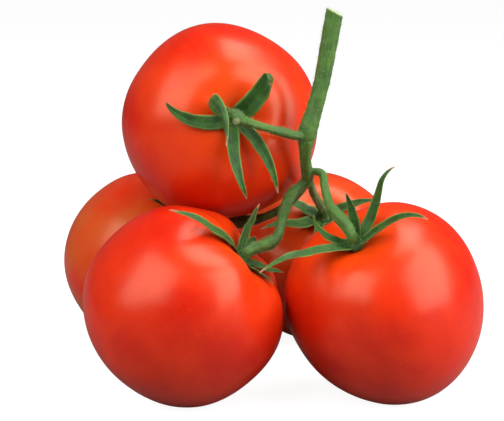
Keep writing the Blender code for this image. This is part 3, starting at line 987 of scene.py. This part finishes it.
def sepal_material():
    """Dark leaf green, pale towards the edges, dry towards the tip."""
    material, tree, shader = new_material(
        "sepal_green", Roughness=0.52, IOR=1.40, Subsurface_Weight=0.08,
        Subsurface_Scale=0.0006, Sheen_Weight=0.04, Sheen_Roughness=0.4)
    shader.inputs["Subsurface Radius"].default_value = (0.5, 1.0, 0.2)
    place = tree.nodes.new("ShaderNodeTexCoord").outputs["Object"]
    clouds = use_group(tree, MOTTLE, {"Vector": place, "Scale": 260.0,
                                      "First": LEAF_DARK, "Second": LEAF_GREEN})
    fibres = use_group(tree, FIBRES, {"Vector": attribute(tree, "grain")["Vector"],
                                      "Fineness": 3.0, "Length": 6.0})["Mask"]
    colour = mix_colour(tree, Field(tree, fibres) * 0.35, clouds["Colour"], STEM_GREEN)
    margin = Field(tree, attribute(tree, "margin")["Fac"])
    colour = mix_colour(tree, smooth_step(margin, 0.62, 1.0) * 0.85, colour, LEAF_EDGE)
    dryness = Field(tree, attribute(tree, "dryness")["Fac"])
    ragged = dryness + (noise_value(tree, place, 300.0) - 0.5) * 0.14
    colour = mix_colour(tree, smooth_step(ragged, 0.88, 0.99), colour, LEAF_DRY)
    connect(tree, colour, shader.inputs["Base Color"])
    height = Field(tree, fibres) + noise_value(tree, place, 900.0) * 0.6
    bump = add_node(tree, "ShaderNodeBump", {"Strength": 0.4, "Distance": 0.00025,
                                             "Height": height})
    connect(tree, bump.outputs[0], shader.inputs["Normal"])
    return material


leaf = sepal_material()
calyxes = [build_calyx(name, fruit, number + 1, leaf)
           for number, (name, fruit) in enumerate(fruits.items())]

# %% [markdown]
# ## Hairs
#
# Stems, stalks and sepals of a tomato are covered in short soft hairs, which catch the light
# along every edge. Thousands of small things on a surface are work for Geometry Nodes: points
# are scattered on the mesh with a fixed seed, and each gets a thin cone that leans a little.

# %% The hair tree
HAIR_INPUTS = (("Geometry", GEOMETRY), ("Density", FLOAT), ("Length", FLOAT), ("Lean", FLOAT),
               ("Seed", INT), ("Hair", MATERIAL))
HAIR_TIP, HAIR_FOOT = 0.00001, 0.000035    # radii, in metres
SHORTEST, LONGEST = 0.45, 1.2              # as parts of the hairs' length
HAIR_GREEN, HAIR_SILVER = (0.14, 0.26, 0.07, 1.0), (0.34, 0.44, 0.20, 1.0)


def build_hair_tree():
    """Scatter points on a mesh and stand a thin cone on each."""
    tree, given, result = new_tree("fine_hairs", "GeometryNodeTree", HAIR_INPUTS,
                                   (("Geometry", GEOMETRY),))
    value = given.outputs
    scatter = add_node(tree, "GeometryNodeDistributePointsOnFaces", {
        "Mesh": value["Geometry"], "Density": value["Density"], "Seed": value["Seed"]})
    cone = add_node(tree, "GeometryNodeMeshCone", {
        "Vertices": 3, "Side Segments": 2, "Radius Top": HAIR_TIP, "Radius Bottom": HAIR_FOOT,
        "Depth": value["Length"]}, fill_type="NONE")
    lean = add_node(tree, "FunctionNodeRandomValue", {"Seed": value["Seed"]},
                    data_type="FLOAT_VECTOR")
    lean.inputs[0].default_value, lean.inputs[1].default_value = (-1, -1, -1), (1, 1, 1)
    leaning = vector_maths(tree, "SCALE", lean.outputs[0], value["Lean"])
    leaning = vector_maths(tree, "ADD", leaning, scatter.outputs["Normal"])
    turn = add_node(tree, "FunctionNodeAlignEulerToVector", {"Vector": leaning}, axis="Z")
    size = add_node(tree, "FunctionNodeRandomValue", {"Seed": value["Seed"]}, data_type="FLOAT")
    size.inputs[2].default_value, size.inputs[3].default_value = SHORTEST, LONGEST
    hairs = add_node(tree, "GeometryNodeInstanceOnPoints", {
        "Points": scatter.outputs["Points"], "Instance": cone.outputs["Mesh"],
        "Rotation": turn.outputs[0], "Scale": size.outputs[1]})
    shape = add_node(tree, "GeometryNodeRealizeInstances", {"Geometry": hairs.outputs[0]})
    shape = add_node(tree, "GeometryNodeSetMaterial", {"Geometry": shape.outputs[0],
                                                       "Material": value["Hair"]})
    tree.links.new(shape.outputs[0], result.inputs[0])
    return tree


def hair_material():
    """Hairs are a little paler than what they grow on, and quite rough."""
    material, tree, shader = new_material("hair_pale", Roughness=0.5, IOR=1.40)
    place = tree.nodes.new("ShaderNodeTexCoord").outputs["Object"]
    tints = use_group(tree, MOTTLE, {"Vector": place, "Scale": 400.0,
                                     "First": HAIR_GREEN, "Second": HAIR_SILVER})
    connect(tree, tints["Colour"], shader.inputs["Base Color"])
    return material


hair_tree, pale_hair = build_hair_tree(), hair_material()
HAIR_LEAN = 0.35                           # how far a hair leans from upright
STEM_HAIRS, LEAF_HAIRS = (1.3e6, 0.0009), (1.0e6, 0.0006)     # number per square metre, length


def add_hairs(piece, slot, density, length, seed):
    """A coat of hairs on one piece, as a piece of its own."""
    inputs = {"Density": density, "Length": length, "Lean": HAIR_LEAN, "Seed": seed,
              "Hair": pale_hair}
    hairs = mesh_from_tree(f"{piece.name}_hairs", hair_tree, inputs, piece.data.copy())
    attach(hairs, "root")
    print(hairs.name, len(hairs.data.polygons), "faces")


add_hairs(vine, "stem", *STEM_HAIRS, 3)
for number, calyx in enumerate(calyxes):
    add_hairs(calyx, "calyx", *LEAF_HAIRS, 20 + number)

# %% [markdown]
# ## Stage, light and camera
#
# The bunch stands on a white floor in a white room. Both look white, but they give the bunch
# much less light than that, so that its shadows and its greens stay deep: the Light Path node
# tells a ray from the camera from all the others. Two large soft lights stand in front, to the
# left and to the right, and one hangs above, so that each fruit shows two or three broad soft
# reflections. The camera is far away with a long lens, and looks down a little.

# %% Floor and room
FLOOR_REACH = 3.0                          # metres from the middle to each side
BLACK, WHITE = (0.0, 0.0, 0.0, 1.0), (1.0, 1.0, 1.0, 1.0)
FLOOR_SEEN, FLOOR_BOUNCE = (0.26, 0.26, 0.26, 1.0), (0.22, 0.22, 0.22, 1.0)
FLOOR_GLOW = (0.92, 0.92, 0.92, 1.0)
ROOM_SEEN, ROOM_LIGHT = 1.35, 0.10


def add_floor():
    """A plain white floor, which gives the bunch less light than it shows."""
    mesh = bpy.data.meshes.new("floor")
    corners = [(x * FLOOR_REACH, y * FLOOR_REACH, 0)
               for x, y in ((-1, -1), (1, -1), (1, 1), (-1, 1))]
    mesh.from_pydata(corners, [], [(0, 1, 2, 3)])
    floor = bpy.data.objects.new("floor", mesh)
    bpy.context.scene.collection.objects.link(floor)
    material, tree, shader = new_material("floor_white", Roughness=0.7, Specular_IOR_Level=0.2)
    seen = add_node(tree, "ShaderNodeLightPath").outputs["Is Camera Ray"]
    connect(tree, mix_colour(tree, seen, FLOOR_BOUNCE, FLOOR_SEEN), shader.inputs["Base Color"])
    shader.inputs["Emission Strength"].default_value = 1.0
    connect(tree, mix_colour(tree, seen, BLACK, FLOOR_GLOW), shader.inputs["Emission Color"])
    mesh.materials.append(material)


def add_world():
    """An even white room, which gives the bunch less light than it shows."""
    world = bpy.data.worlds.new("white_room")
    world.use_nodes = True
    tree = world.node_tree
    seen = Field(tree, add_node(tree, "ShaderNodeLightPath").outputs["Is Camera Ray"])
    background = tree.nodes["Background"]
    background.inputs["Color"].default_value = WHITE
    connect(tree, seen * (ROOM_SEEN - ROOM_LIGHT) + ROOM_LIGHT, background.inputs["Strength"])
    bpy.context.scene.world = world


add_floor()
add_world()
print("The floor is", 2 * FLOOR_REACH, "m wide")

# %% Lights and camera
CAMERA_TARGET = Vector((0.0, 0.0, 63.0)) - FOOTPRINT_MIDDLE
CAMERA_DISTANCE, CAMERA_ELEVATION = 700.0, 12.0
LENS, SENSOR = 137.5, 36.0
LIT_POINT = Vector((0.0, 0.0, 60.0))       # the middle of the bunch, which the lights face
# name, direction from the middle of the bunch, distance, width, height, power
LIGHTS = (
    ("left_softbox", (-48, 36), 650, 600, 560, 4.5),
    ("right_softbox", (63, 28), 650, 580, 640, 6.6),
    ("top_softbox", (100, 72), 700, 460, 400, 3.4),
)


def add_light(name, towards, distance, width, height, power):
    """One rectangular soft light that faces the bunch."""
    data = bpy.data.lights.new(name, "AREA")
    data.shape, data.size, data.size_y = "RECTANGLE", width * MM, height * MM
    data.energy = power
    light = bpy.data.objects.new(name, data)
    out = direction(*towards)
    light.location = (LIT_POINT + out * distance) * MM
    light.rotation_euler = out.to_track_quat("Z", "Y").to_euler()
    bpy.context.scene.collection.objects.link(light)


def add_camera():
    """A long lens at the same angle as a person who leans over a table a little."""
    data = bpy.data.cameras.new("camera")
    data.lens, data.sensor_width = LENS, SENSOR
    camera = bpy.data.objects.new("camera", data)
    out = direction(0, CAMERA_ELEVATION)
    camera.location = (CAMERA_TARGET + out * CAMERA_DISTANCE) * MM
    camera.rotation_euler = out.to_track_quat("Z", "Y").to_euler()
    bpy.context.scene.collection.objects.link(camera)
    bpy.context.scene.camera = camera


for light in LIGHTS:
    add_light(*light)
add_camera()
bpy.context.scene.view_settings.view_transform = "Standard"
print("Stage is set with", len(LIGHTS), "lights")
